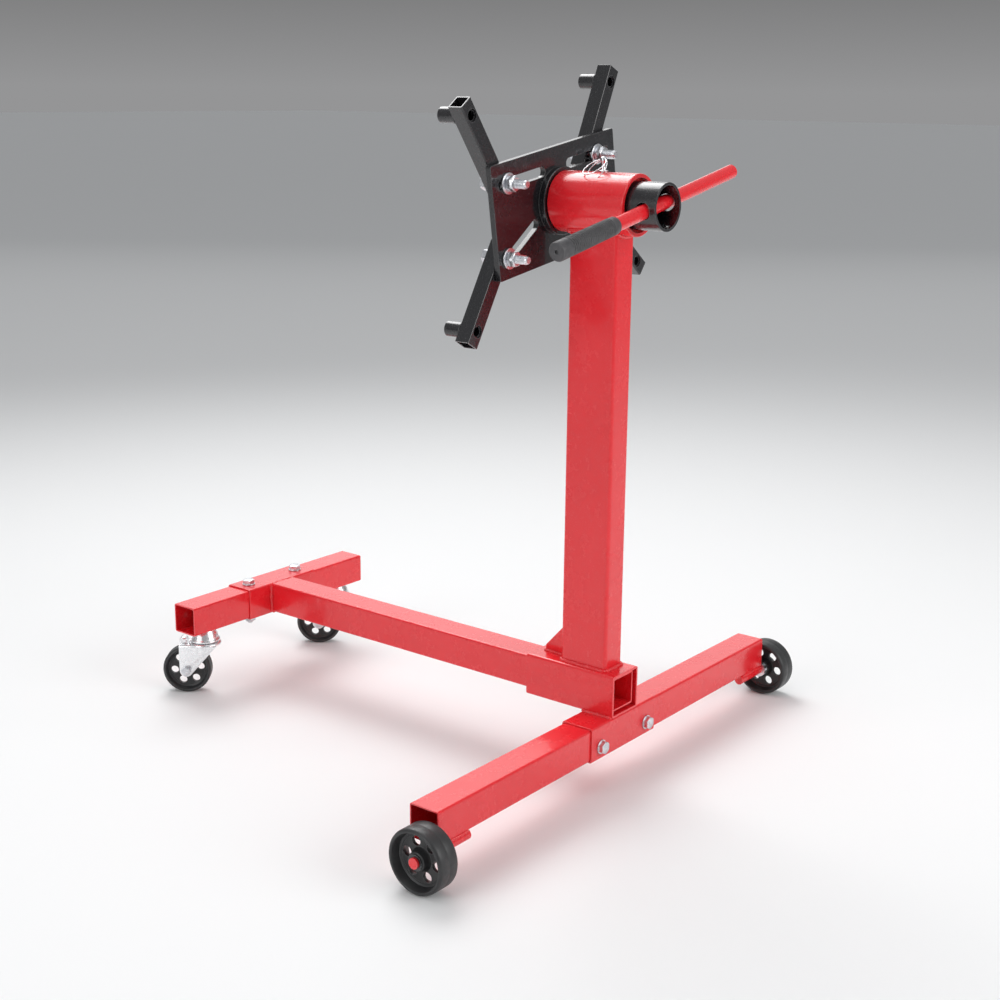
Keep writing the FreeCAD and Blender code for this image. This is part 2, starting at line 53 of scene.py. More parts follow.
viewpoint = Vector((-1.67022, -1.4414, 0.92021))
turn, dip, tilt = 0.9061, 0.2582, 0.0095
ahead = Vector((sin(turn) * cos(dip), cos(turn) * cos(dip), -sin(dip)))
level_right = ahead.cross(Vector((0, 0, 1))).normalized()
level_up = level_right.cross(ahead)
right = level_right * cos(tilt) + level_up * sin(tilt)
up = level_up * cos(tilt) - level_right * sin(tilt)
lens = bpy.data.cameras.new("camera")
lens.sensor_width = 36
lens.lens = 56.05
camera = bpy.data.objects.new("camera", lens)
bpy.context.scene.collection.objects.link(camera)
facing = Matrix((right, up, -ahead)).transposed().to_4x4()
camera.matrix_world = Matrix.Translation(viewpoint) @ facing
bpy.context.scene.camera = camera
bpy.context.scene.view_settings.view_transform = "Standard"

FLOOR_SIZE = 90.0

bpy.ops.object.select_all(action="DESELECT")
bpy.ops.mesh.primitive_plane_add(size=FLOOR_SIZE)
floor = bpy.context.object
floor.name = "floor"
plaster = bpy.data.materials.new("pale_floor")
plaster.use_nodes = True
plaster_shader = plaster.node_tree.nodes["Principled BSDF"]
plaster_shader.inputs["Base Color"].default_value = (0.86, 0.86, 0.86, 1)
plaster_shader.inputs["Roughness"].default_value = 0.7
plaster_shader.inputs["Specular IOR Level"].default_value = 0.1
floor.data.materials.append(plaster)

# The studio's walls are dim low down and lighter above, and the floor fades into them.
sky = bpy.data.worlds.new("studio")
sky.use_nodes = True
direction = sky.node_tree.nodes.new("ShaderNodeTexCoord")
height = sky.node_tree.nodes.new("ShaderNodeSeparateXYZ")
shade = sky.node_tree.nodes.new("ShaderNodeValToRGB")
shade.color_ramp.elements[0].color = (0.30, 0.30, 0.305, 1)
shade.color_ramp.elements[1].position = 0.6
shade.color_ramp.elements[1].color = (0.38, 0.39, 0.40, 1)
for rise, grey in ((0.055, 0.21), (0.16, 0.25)):
    shade.color_ramp.elements.new(rise).color = (grey, grey, grey * 1.01, 1)
sky.node_tree.links.new(direction.outputs["Generated"], height.inputs["Vector"])
sky.node_tree.links.new(height.outputs["Z"], shade.inputs["Fac"])
sky.node_tree.links.new(shade.outputs["Color"], sky.node_tree.nodes["Background"].inputs["Color"])
bpy.context.scene.world = sky


def soft_light(name, place, target, width, height, watts, spread=180):
    """A flat rectangular lamp that faces the target point; spread is its cone in degrees."""
    lamp = bpy.data.lights.new(name, "AREA")
    lamp.shape = "RECTANGLE"
    lamp.size = width
    lamp.size_y = height
    lamp.energy = watts
    lamp.spread = radians(spread)
    holder = bpy.data.objects.new(name, lamp)
    bpy.context.scene.collection.objects.link(holder)
    holder.location = place
    holder.rotation_euler = (Vector(target) - Vector(place)).to_track_quat("-Z", "Y").to_euler()
    holder.visible_camera = False


soft_light("overhead", (-0.6, -0.3, 4.4), (0, 0, 0.3), 3.4, 2.5, 27)
soft_light("left_side", (-3.6, 0.5, 1.6), (0, 0, 0.4), 2.2, 2.0, 37)
soft_light("right_front", (0.8, -3.6, 1.8), (0, 0, 0.4), 2.2, 2.0, 58)
soft_light("back_high", (1.3, 1.9, 3.2), (0, -0.2, 0.5), 2.6, 2.2, 29, 95)
soft_light("back_low", (6.3, 5.0, 2.9), (0, 0, 1.4), 9.0, 3.0, 30, 110)

# ---- Square bars, sleeves, socket and base tube ----
# Cold drawn square steel tube, sawn square and deburred, then sprayed and baked
# with a thick red gloss powder. The bars slide in their sleeves.


def node(tree, kind, **values):
    """Add a shader node and set its inputs; an underscore in a name stands for a space."""
    made = tree.nodes.new("ShaderNode" + kind)
    for name, value in values.items():
        made.inputs[name.replace("_", " ")].default_value = value
    return made


def noise_on(tree, place, size, detail=3.0, roughness=0.5, stretch=(1, 1, 1)):
    """A noise pattern whose blotches are about size metres wide, read in the piece's own metres."""
    spread = node(tree, "Mapping", Scale=stretch)
    pattern = node(tree, "TexNoise", Scale=1 / size, Detail=detail, Roughness=roughness)
    tree.links.new(place.outputs["Object"], spread.inputs["Vector"])
    tree.links.new(spread.outputs["Vector"], pattern.inputs["Vector"])
    return pattern.outputs["Fac"]


def between(tree, source, low, high, start=0.35, end=0.65):
    """Turn a pattern's middle range into a smooth run between two plain values."""
    scaled = node(tree, "MapRange")
    scaled.inputs["From Min"].default_value = start
    scaled.inputs["From Max"].default_value = end
    scaled.inputs["To Min"].default_value = low
    scaled.inputs["To Max"].default_value = high
    tree.links.new(source, scaled.inputs["Value"])
    return scaled.outputs["Result"]


def mixed(tree, share, first, second):
    """A colour that runs from first to second; either may be a plain colour or a socket."""
    blend = tree.nodes.new("ShaderNodeMix")
    blend.data_type = "RGBA"
    tree.links.new(share, blend.inputs["Factor"])
    for name, colour in (("A", first), ("B", second)):
        socket = [s for s in blend.inputs if s.name == name and s.type == "RGBA"][0]
        if isinstance(colour, tuple):
            socket.default_value = (*colour, 1)
        else:
            tree.links.new(colour, socket)
    return [s for s in blend.outputs if s.type == "RGBA"][0]


def bumped(tree, height, distance, strength, under=None):
    """A bump of the given depth in metres, over another bump if there is one."""
    bump = node(tree, "Bump", Distance=distance, Strength=strength)
    tree.links.new(height, bump.inputs["Height"])
    if under is not None:
        tree.links.new(under, bump.inputs["Normal"])
    return bump.outputs["Normal"]


# An edge mask. The paints and the rubber lighten their edges with it, partly as wear and partly as a painted
# highlight.
def edge_wear_and_sheen_mask(tree, width):
    """1 where the surface turns sharply within width metres, 0 on the flats."""
    rounded = tree.nodes.new("ShaderNodeBevel")
    rounded.samples = 4
    rounded.inputs["Radius"].default_value = width
    flat = tree.nodes.new("ShaderNodeNewGeometry")
    across = tree.nodes.new("ShaderNodeVectorMath")
    across.operation = "DOT_PRODUCT"
    tree.links.new(rounded.outputs["Normal"], across.inputs[0])
    tree.links.new(flat.outputs["Normal"], across.inputs[1])
    return between(tree, across.outputs["Value"], 1, 0, 0.86, 0.995)


def start_material(name, roughness, metallic=0.0, coat=0.0, coat_roughness=0.05):
    """A new material with its constant values, its tree, shader and coordinates."""
    made = bpy.data.materials.new(name)
    made.use_nodes = True
    tree = made.node_tree
    shader = tree.nodes["Principled BSDF"]
    shader.inputs["Roughness"].default_value = roughness
    shader.inputs["Metallic"].default_value = metallic
    shader.inputs["Coat Weight"].default_value = coat
    shader.inputs["Coat Roughness"].default_value = coat_roughness
    return made, tree, shader, tree.nodes.new("ShaderNodeTexCoord")


def powder_coat(name, colour, deep, edge, gloss):
    """Baked powder: slow shifts of tone, an orange-peel skin, faint rubs, and edges paler partly from thinner
    paint and partly from a painted highlight.
    """
    made, tree, shader, place = start_material(name, gloss, coat=0.45, coat_roughness=0.06)
    tone = between(tree, noise_on(tree, place, 0.11, 4), 0, 1)
    body = mixed(tree, tone, colour, deep)
    fleck = between(tree, noise_on(tree, place, 0.0016, 2), 0, 0.16, 0.55, 0.8)
    body = mixed(tree, fleck, body, edge)
    # Paler edges in patches: partly thinner paint, partly a painted highlight that stands in for light caught by
    # the rounded edges.
    worn_and_sheen_edges = edge_wear_and_sheen_mask(tree, 0.0012)
    patchy = node(tree, "Math")
    patchy.operation = "MULTIPLY"
    tree.links.new(worn_and_sheen_edges, patchy.inputs[0])
    tree.links.new(between(tree, noise_on(tree, place, 0.02, 4), 0.15, 0.6), patchy.inputs[1])
    tree.links.new(mixed(tree, patchy.outputs["Value"], body, edge), shader.inputs["Base Color"])
    rubs = noise_on(tree, place, 0.03, 6, 0.7)
    tree.links.new(between(tree, rubs, gloss, gloss + 0.08, 0.4, 0.75), shader.inputs["Roughness"])
    waves = bumped(tree, noise_on(tree, place, 0.012, 2), 0.0005, 0.06)
    peel = bumped(tree, noise_on(tree, place, 0.0022, 2), 0.00016, 0.30, waves)
    tree.links.new(peel, shader.inputs["Normal"])
    return made


def coat_nodes(material, *names):
    """Put a material on CAD nodes whose shape is kept as it is."""
    for name in names:
        for slot in frame["nodes"][name].material_slots:
            slot.material = material


# THIN_AND_SHEEN_RED is the pale red of the flecks and the edges. On the edges it is partly thin paint and partly a
# painted highlight.
RED, DEEP_RED, THIN_AND_SHEEN_RED = (0.84, 0.012, 0.021), (0.80, 0.010, 0.018), (0.92, 0.26, 0.27)
red_coat = powder_coat("red_powder", RED, DEEP_RED, THIN_AND_SHEEN_RED, 0.24)
coat_nodes(red_coat, "rear_bar", "rear_sleeve", "front_bar", "front_sleeve", "base_socket", "base_tube")

# ---- Frame bolts: M10 hex bolts, flat washers and nuts through the sleeves ----
# Forged hex heads with turned chamfers, rolled threads and pressed washers, all
# bright zinc plated. Two go level through the rear sleeve, two down the front one.


def zinc_plate(name, bright, dull, gloss):
    """Bright zinc: cloudy passivation, fine rolling marks and soft tarnish in patches."""
    made, tree, shader, place = start_material(name, gloss, metallic=1.0)
    cloud = between(tree, noise_on(tree, place, 0.006, 5, 0.6), 0, 1)
    body = mixed(tree, cloud, bright, dull)
    spot = between(tree, noise_on(tree, place, 0.0016, 3), 0, 0.5, 0.6, 0.8)
    tree.links.new(mixed(tree, spot, body, (0.42, 0.43, 0.46)), shader.inputs["Base Color"])
    smear = noise_on(tree, place, 0.004, 6, 0.7)
    tree.links.new(between(tree, smear, gloss, gloss + 0.18), shader.inputs["Roughness"])
    marks = noise_on(tree, place, 0.0012, 4, 0.6, (1, 1, 0.2))
    tree.links.new(bumped(tree, marks, 0.00008, 0.25), shader.inputs["Normal"])
    return made


bolt_zinc = zinc_plate("zinc_plated_bolt", (0.80, 0.81, 0.83), (0.62, 0.63, 0.67), 0.22)
ROUND = Vector((0, 0, 1))


def deselect():
    bpy.ops.object.select_all(action="DESELECT")


def pick(kind, test):
    """In edit mode, select only the faces or edges whose middle and direction pass the test."""
    bpy.ops.mesh.select_mode(type=kind)
    bpy.ops.mesh.select_all(action="DESELECT")
    mesh = bmesh.from_edit_mesh(bpy.context.object.data)
    if kind == "FACE":
        for face in mesh.faces:
            face.select_set(test(face.calc_center_median(), face.normal))
    else:
        for edge in mesh.edges:
            low, high = (corner.co for corner in edge.verts)
            edge.select_set(test((low + high) / 2, high - low))
    mesh.select_flush_mode()
    bmesh.update_edit_mesh(bpy.context.object.data)


def edit_all():
    bpy.ops.object.mode_set(mode="EDIT")
    bpy.ops.mesh.select_all(action="SELECT")


def apply_modifier(piece, kind, **settings):
    """Add a modifier with these settings and apply it."""
    deselect()
    piece.select_set(True)
    bpy.context.view_layer.objects.active = piece
    modifier = piece.modifiers.new(kind.lower(), kind)
    for name, value in settings.items():
        setattr(modifier, name, value)
    bpy.ops.object.modifier_apply(modifier=modifier.name)


def settle(piece, matrix=None):
    """Move a piece in its mesh, so that its object stays at the origin, unturned."""
    deselect()
    piece.select_set(True)
    bpy.context.view_layer.objects.active = piece
    if matrix is not None:
        piece.matrix_world = matrix @ piece.matrix_world
    bpy.ops.object.transform_apply(location=True, rotation=True, scale=True)


def join(pieces, name):
    """Make one mesh of several and name it."""
    deselect()
    for piece in pieces:
        piece.select_set(True)
    bpy.context.view_layer.objects.active = pieces[0]
    if len(pieces) > 1:
        bpy.ops.object.join()
    pieces[0].name = name
    return pieces[0]


def remove(*pieces):
    for piece in pieces:
        bpy.data.objects.remove(piece)


def cylinder(radius, start, end, sides=48):
    """A closed round bar between two points, settled, as a blank or a cutter."""
    start, end = Vector(start), Vector(end)
    deselect()
    turn_to = ROUND.rotation_difference(end - start).to_euler()
    bpy.ops.mesh.primitive_cylinder_add(vertices=sides, radius=radius, depth=(end - start).length,
                                        location=(start + end) / 2, rotation=turn_to)
    made = bpy.context.object
    settle(made)
    return made


def cut(piece, *cutters, keep_common=False):
    """Cut shapes out of a piece, or keep only what they share, and remove the cutters."""
    for cutter in cutters:
        apply_modifier(piece, "BOOLEAN", object=cutter, solver="EXACT",
                       operation="INTERSECT" if keep_common else "DIFFERENCE")
        remove(cutter)


def smooth(piece, angle=35):
    """Shade smooth where the surface turns gently."""
    deselect()
    piece.select_set(True)
    bpy.context.view_layer.objects.active = piece
    bpy.ops.object.shade_smooth_by_angle(angle=radians(angle))


def hex_blank(flats, height, both_ends):
    """A hexagon from z = 0 up, with the turned chamfer that cuts its corners round."""
    corner = flats / sqrt(3)
    drop = 0.06 * flats
    deselect()
    bpy.ops.mesh.primitive_cylinder_add(vertices=6, radius=corner, depth=height,
                                        location=(0, 0, height / 2))
    hexagon = bpy.context.object
    settle(hexagon)
    low = drop if both_ends else 0
    turned = cylinder(corner * 1.002, (0, 0, low), (0, 0, height - drop), 72)
    bpy.ops.object.mode_set(mode="EDIT")
    for side in (1, -1) if both_ends else (1,):
        pick("FACE", lambda middle, normal: normal.z * side > 0.9)
        bpy.ops.mesh.extrude_region_move(TRANSFORM_OT_translate={"value": (0, 0, side * drop)})
        bpy.ops.transform.resize(value=(0.83, 0.83, 1))
    bpy.ops.object.mode_set(mode="OBJECT")
    cut(hexagon, turned, keep_common=True)
    edit_all()
    bpy.ops.mesh.remove_doubles(threshold=0.000005)
    bpy.ops.object.mode_set(mode="OBJECT")
    return hexagon


def thread(radius, pitch, start, length):
    """A rolled thread: one tooth wound up the shank, its two ends closed."""
    depth = 0.58 * pitch
    turns = max(1, round(length / pitch))
    deselect()
    upright = Matrix(((0, 1, 0), (0, 0, 1), (1, 0, 0))).to_euler()
    bpy.ops.mesh.primitive_circle_add(vertices=3, radius=1, rotation=upright,
                                      location=(radius - depth / 1.3, 0, start + pitch / 2))
    tooth = bpy.context.object
    tooth.scale = (pitch * 0.56, depth / 1.3, 1)
    settle(tooth)
    apply_modifier(tooth, "SCREW", angle=2 * pi, screw_offset=pitch, iterations=turns,
                   steps=28, render_steps=28, use_normal_calculate=True)
    edit_all()
    bpy.ops.mesh.remove_doubles(threshold=0.00001)
    bpy.ops.mesh.select_all(action="DESELECT")
    bpy.ops.mesh.select_mode(type="EDGE")
    bpy.ops.mesh.select_non_manifold()
    bpy.ops.mesh.fill_holes(sides=0)
    bpy.ops.mesh.select_all(action="SELECT")
    bpy.ops.mesh.normals_make_consistent(inside=False)
    bpy.ops.object.mode_set(mode="OBJECT")
    return tooth


def hex_bolt(radius, flats, head, length, pitch, threaded):
    """A bolt whose shank runs up from z = 0 and whose head hangs below it."""
    top = hex_blank(flats, head, False)
    settle(top, Matrix.Rotation(pi, 4, "X"))
    core = radius - 0.58 * pitch
    plain = length - threaded
    shank = cylinder(radius if plain > 0 else core, (0, 0, -head / 2), (0, 0, max(plain, 0.0005)))
    bpy.ops.object.mode_set(mode="EDIT")
    pick("FACE", lambda middle, normal: normal.z > 0.9)
    if plain > 0:
        bpy.ops.transform.resize(value=(core / radius, core / radius, 1))
        pick("FACE", lambda middle, normal: normal.z > 0.9)
    chamfer = 0.6 * pitch
    bpy.ops.mesh.extrude_region_move(
        TRANSFORM_OT_translate={"value": (0, 0, length - chamfer - max(plain, 0.0005))})
    bpy.ops.mesh.extrude_region_move(TRANSFORM_OT_translate={"value": (0, 0, chamfer)})
    bpy.ops.transform.resize(value=(0.86, 0.86, 1))
    bpy.ops.object.mode_set(mode="OBJECT")
    teeth = thread(radius, pitch, max(plain, 0) + pitch * 0.3, threaded - 2.2 * pitch)
    made = join([top, shank, teeth], "bolt")
    smooth(made)
    return made


def hex_nut(radius, flats, height):
    """A nut from z = 0 up, chamfered on both faces, its bore clear of the bolt."""
    made = hex_blank(flats, height, True)
    cut(made, cylinder(radius * 1.012, (0, 0, -0.01), (0, 0, height + 0.01)))
    apply_modifier(made, "BEVEL", width=0.00015, segments=1, limit_method="ANGLE",
                   angle_limit=radians(50))
    smooth(made)
    return made


def flat_washer(outer, bore, thickness):
    """A pressed washer from z = 0 up, its outer edges rolled over a little."""
    made = cylinder(outer, (0, 0, 0), (0, 0, thickness), 72)
    bpy.ops.object.mode_set(mode="EDIT")
    pick("FACE", lambda middle, normal: abs(normal.z) > 0.9)
    bpy.ops.mesh.inset(thickness=outer - bore)
    bpy.ops.mesh.bridge_edge_loops()
    bpy.ops.object.mode_set(mode="OBJECT")
    apply_modifier(made, "BEVEL", width=thickness * 0.2, segments=2, limit_method="ANGLE",
                   angle_limit=radians(50))
    smooth(made)
    return made


def copy_of(piece, name, matrix, body, slot, *replaced):
    """A copy with its own mesh, placed, named and riding on a body."""
    made = piece.copy()
    made.data = piece.data.copy()
    bpy.context.scene.collection.objects.link(made)
    made.name = name
    settle(made, matrix)
    finish_piece(made, None, body, slot, *replaced)
    return made


def finish_piece(piece, material, body, slot, *replaced):
    """Give a piece its material, its body and the CAD nodes that it stands for. The slot argument is not used."""
    if material is not None:
        piece.data.materials.clear()
        piece.data.materials.append(material)
    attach(piece, body)
    if replaced:
        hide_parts(*replaced)


def along(point, direction):
    """The matrix that stands a piece made along +Z at a point, along a direction."""
    return Matrix.Translation(point) @ ROUND.rotation_difference(Vector(direction)).to_matrix().to_4x4()


M10_RADIUS, M10_FLATS, M10_HEAD, M10_NUT, M10_PITCH = 0.005, 0.016, 0.0064, 0.0084, 0.0015
WASHER_OUTER, WASHER_THICK, WASHER_SLACK = 0.010, 0.002, 0.0002
rear_low, rear_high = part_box("rear_sleeve")
front_low, front_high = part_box("front_sleeve")
rear_middle = (rear_low + rear_high) / 2
front_middle = (front_low + front_high) / 2
half_sleeve = (rear_high.z - rear_low.z) / 2
washer_low, washer_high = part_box("frame_washers")
rear_bolt_x = washer_high.x - WASHER_OUTER
rear_bolt_z = washer_low.z + WASHER_OUTER
front_bolt_x = 0.051
BOLT_END, THREADED = 0.004, 0.024
frame_bolt_length = 2 * (half_sleeve + WASHER_THICK) + M10_NUT + BOLT_END

bolt_blank = hex_bolt(M10_RADIUS, M10_FLATS, M10_HEAD, frame_bolt_length, M10_PITCH, THREADED)
nut_blank = hex_nut(M10_RADIUS, M10_FLATS, M10_NUT)
washer_blank = flat_washer(WASHER_OUTER, M10_RADIUS + WASHER_SLACK, WASHER_THICK)
for blank in (bolt_blank, nut_blank, washer_blank):
    blank.data.materials.append(bolt_zinc)
places = []
for side, hand in ((-1, "left"), (1, "right")):
    rear = Vector((side * rear_bolt_x, rear_middle.y, rear_bolt_z))
    front = Vector((side * front_bolt_x, front_middle.y, front_middle.z))
    places.append(("rear_" + hand, rear, Vector((0, 1, 0))))
    places.append(("front_" + hand, front, Vector((0, 0, -1))))
for name, middle, way in places:
    near = middle - way * (half_sleeve + WASHER_THICK)
    far = middle + way * half_sleeve
    copy_of(bolt_blank, "hex_bolt_" + name, along(near, way), "frame", "zinc", "frame_bolts")
    copy_of(washer_blank, "head_washer_" + name, along(near, way), "frame", "zinc", "frame_washers")
    copy_of(washer_blank, "nut_washer_" + name, along(far, way), "frame", "zinc", "frame_washers")
    nut_face = far + way * WASHER_THICK
    copy_of(nut_blank, "hex_nut_" + name, along(nut_face, way), "frame", "zinc", "frame_nuts")

# ---- Clamp screw of the base tube ----
# An M10 screw in a nut welded to the socket's side. It bears on the base tube and
# pushes it against the far wall. Zinc plated, like the frame bolts.

clamp_low, clamp_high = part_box("clamp_bolt")
nut_low, nut_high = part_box("clamp_nut")
clamp_length = clamp_high.x - clamp_low.x - M10_HEAD
clamp_middle = (clamp_low + clamp_high) / 2
screw_blank = hex_bolt(M10_RADIUS, M10_FLATS, M10_HEAD, clamp_length, M10_PITCH, clamp_length)
screw_blank.data.materials.append(bolt_zinc)
under_head = Vector((clamp_high.x - M10_HEAD, clamp_middle.y, clamp_middle.z))
copy_of(screw_blank, "base_clamp_screw", along(under_head, (-1, 0, 0)), "frame", "zinc", "clamp_bolt")
nut_start = Vector((nut_low.x, clamp_middle.y, clamp_middle.z))
to_weld_nut_height = Matrix.Diagonal((1, 1, (nut_high.x - nut_low.x) / M10_NUT, 1))
copy_of(nut_blank, "base_clamp_nut", along(nut_start, (1, 0, 0)) @ to_weld_nut_height,
        "frame", "zinc", "clamp_nut")
remove(bolt_blank, nut_blank, washer_blank, screw_blank)

# ---- Post, gusset and collar, and the welds that hold them and the base ----
# A rectangular tube stands on the socket behind a small gusset and carries a thick bored
# collar. Hand-laid fillet welds join them, lumpy where the welder paused, and the tubes
# and welds are sprayed together.

RIPPLE = 0.0034
WELD_SIDES = 10


def bead_blank(length, width, seed, wraps=False):
    """A straight bead along +X from the origin: one ripple repeated, with the lumps that will make it uneven."""
    ripples = max(2, round(length / RIPPLE))
    step = length / ripples
    deselect()
    bpy.ops.mesh.primitive_circle_add(vertices=WELD_SIDES, radius=width * 0.84,
                                      rotation=(0, pi / 2, 0))
    bead = bpy.context.object
    settle(bead)
    bpy.ops.object.mode_set(mode="EDIT")
    bpy.ops.mesh.select_mode(type="EDGE")
    bpy.ops.mesh.select_all(action="SELECT")
    for share, swell in ((0.25, 1.14), (0.35, 1.06), (0.25, 0.93), (0.15, 0.89)):
        bpy.ops.mesh.extrude_region_move(TRANSFORM_OT_translate={"value": (step * share, 0, 0)})
        bpy.ops.transform.resize(value=(1, swell, swell))
    bpy.ops.object.mode_set(mode="OBJECT")
    apply_modifier(bead, "ARRAY", count=ripples, use_relative_offset=False, use_constant_offset=True,
                   constant_offset_displace=(step, 0, 0), use_merge_vertices=True,
                   merge_threshold=width * 0.12)
    if not wraps:
        bpy.ops.object.mode_set(mode="EDIT")
        for place, way in ((0, -1), (length, 1)):
            pick("EDGE", lambda middle, run: abs(middle.x - place) < step * 0.02
                 and abs(run.x) < step * 0.1)
            bpy.ops.mesh.extrude_region_move(TRANSFORM_OT_translate={"value": (way * width * 0.7, 0, 0)})
            bpy.ops.transform.resize(value=(1, 0.45, 0.45))
            bpy.ops.mesh.edge_face_add()
        bpy.ops.object.mode_set(mode="OBJECT")
    lumps = bpy.data.textures.new(f"lumps_{seed}", "CLOUDS")
    lumps.noise_scale = 0.006
    return bead, lumps


def roughen(bead, lumps, depth):
    """Make a bead uneven where it lies, so that no two look the same."""
    apply_modifier(bead, "DISPLACE", texture=lumps, texture_coords="LOCAL", strength=depth, mid_level=0.5)
    edit_all()
    bpy.ops.mesh.normals_make_consistent(inside=False)
    bpy.ops.object.mode_set(mode="OBJECT")
    smooth(bead, 80)


def straight_bead(start, end, width):
    """A bead laid from one point to another."""
    start, end = Vector(start), Vector(end)
    bead, lumps = bead_blank((end - start).length, width, str(len(bpy.data.textures)))
    turn_to = Vector((1, 0, 0)).rotation_difference(end - start).to_matrix().to_4x4()
    settle(bead, Matrix.Translation(start) @ turn_to)
    roughen(bead, lumps, width * 0.5)
    return bead


def round_bead(radius, sweep, width, matrix):
    """A bead bent about the Z axis through the origin, its middle towards -Y, then placed."""
    length = radius * sweep
    bead, lumps = bead_blank(length, width, str(len(bpy.data.textures)), sweep > 6.2)
    settle(bead, Matrix.Translation((-length / 2, 0, 0)))
    apply_modifier(bead, "SIMPLE_DEFORM", deform_method="BEND", deform_axis="Z", angle=sweep)
    edit_all()
    bpy.ops.mesh.remove_doubles(threshold=width * 0.05)
    bpy.ops.object.mode_set(mode="OBJECT")
    settle(bead, matrix @ Matrix.Translation((0, -radius, 0)))
    roughen(bead, lumps, width * 0.5)
    return bead


def weld(name, material, slot, body, *beads):
    """Join the beads of one joint into a piece."""
    made = join(list(beads), name)
    finish_piece(made, material, body, slot)


coat_nodes(red_coat, "post", "post_gusset", "collar")
post_low, post_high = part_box("post")
socket_low, socket_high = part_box("base_socket")
tube_low, tube_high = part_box("base_tube")
gusset_low, gusset_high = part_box("post_gusset")
collar_low, collar_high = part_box("collar")

# Round the post's foot, on top of the socket.
foot = post_low.z + 0.0006
out = 0.0006
foot_beads = []
for side in (-1, 1):
    x = side * (post_high.x + out)
    foot_beads.append(straight_bead((x, post_low.y + 0.002, foot), (x, post_high.y - 0.002, foot), 0.0034))
for y in (post_low.y - out, post_high.y + out):
    foot_beads.append(straight_bead((post_low.x + 0.001, y, foot), (post_high.x - 0.001, y, foot), 0.0034))
weld("weld_post_foot", red_coat, "red_paint", "frame", *foot_beads)

# Down both sides of the gusset, along the socket and up the post.
gusset_beads = []
for side in (-1, 1):
    x = side * (gusset_high.x + 0.0004)
    corner_y, top_z = post_high.y, gusset_high.z - 0.002
    gusset_beads += [
        straight_bead((x, gusset_low.y + 0.003, foot), (x, gusset_high.y - 0.001, foot), 0.0024),
        straight_bead((x, corner_y, foot + 0.004), (x, corner_y, top_z), 0.0022),
    ]
toe_y = gusset_high.y + out
gusset_beads.append(straight_bead((-0.003, toe_y, foot), (0.003, toe_y, foot), 0.0026))
weld("weld_gusset", red_coat, "red_paint", "frame", *gusset_beads)

# Under the socket: along both of its sides and across its back, on top of the rear sleeve.
seat = socket_low.z + 0.0004
socket_beads = []
for side in (-1, 1):
    x = side * (socket_high.x + 0.0004)
    socket_beads.append(straight_bead((x, rear_low.y + 0.003, seat), (x, rear_high.y - 0.001, seat), 0.0030))
y = rear_high.y + 0.0004
socket_beads.append(straight_bead((-0.027, y, seat - 0.0006), (0.027, y, seat - 0.0006), 0.0028))
weld("weld_socket", red_coat, "red_paint", "frame", *socket_beads)

# Round the base tube's far end, on the face of the front sleeve.
end_y = tube_high.y - 0.0004
tube_beads = []
for x in (tube_low.x - out, tube_high.x + out):
    tube_beads.append(straight_bead((x, end_y, tube_low.z + 0.002), (x, end_y, tube_high.z - 0.002), 0.0031))
for z in (tube_low.z - 0.0004, tube_high.z - 0.0016):
    tube_beads.append(straight_bead((tube_low.x + 0.002, end_y, z), (tube_high.x - 0.002, end_y, z), 0.0026))
weld("weld_base_tube", red_coat, "red_paint", "frame", *tube_beads)

# Between the post's cut top and the collar: straight down each side, curved across the ends.
collar_radius = (collar_high.x - collar_low.x) / 2
axis_z = (collar_low.z + collar_high.z) / 2
saddle_z = axis_z - sqrt(collar_radius ** 2 - post_high.x ** 2)
collar_beads = []
for side in (-1, 1):
    x, inset = side * (post_high.x + out), 0.001
    ends = ((x, post_low.y + inset, saddle_z), (x, post_high.y - inset, saddle_z))
    collar_beads.append(straight_bead(*ends, 0.0032))
half_saddle = atan2(post_high.x, axis_z - saddle_z)
hang = Matrix.Rotation(pi / 2, 4, "X")
for y in (post_low.y - out, post_high.y + out):
    collar_beads.append(round_bead(collar_radius + 0.0004, 2 * half_saddle, 0.0031,
                                   Matrix.Translation((0, y, axis_z)) @ hang))
weld("weld_collar", red_coat, "red_paint", "frame", *collar_beads)

# ---- Stub axles and their wheels ----
# Turned steel axles are welded under the ends of the rear bar and painted with it. The cast
# wheels have a thick rim, a thin web with six round holes and a long hub, all in black
# enamel. They turn on the axles and never steer.

coat_nodes(red_coat, "axle_left", "axle_right")

# The welds lie along both sides of each axle, up against the underside of the bar.
bar_low, bar_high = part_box("rear_bar")
axle_beads = []
axle_low, axle_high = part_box("axle_right")
axle_radius = (axle_high.z - axle_low.z) / 2
axle_y = (axle_low.y + axle_high.y) / 2
for side in (-1, 1):
    for lean in (-1, 1):
        y = axle_y + lean * axle_radius * 0.62
        z = bar_low.z - 0.0008
        inner_x, outer_x = side * (axle_low.x + 0.004), side * (bar_high.x - 0.004)
        axle_beads.append(straight_bead((inner_x, y, z), (outer_x, y, z), 0.0026))
weld("weld_axles", red_coat, "red_paint", "frame", *axle_beads)


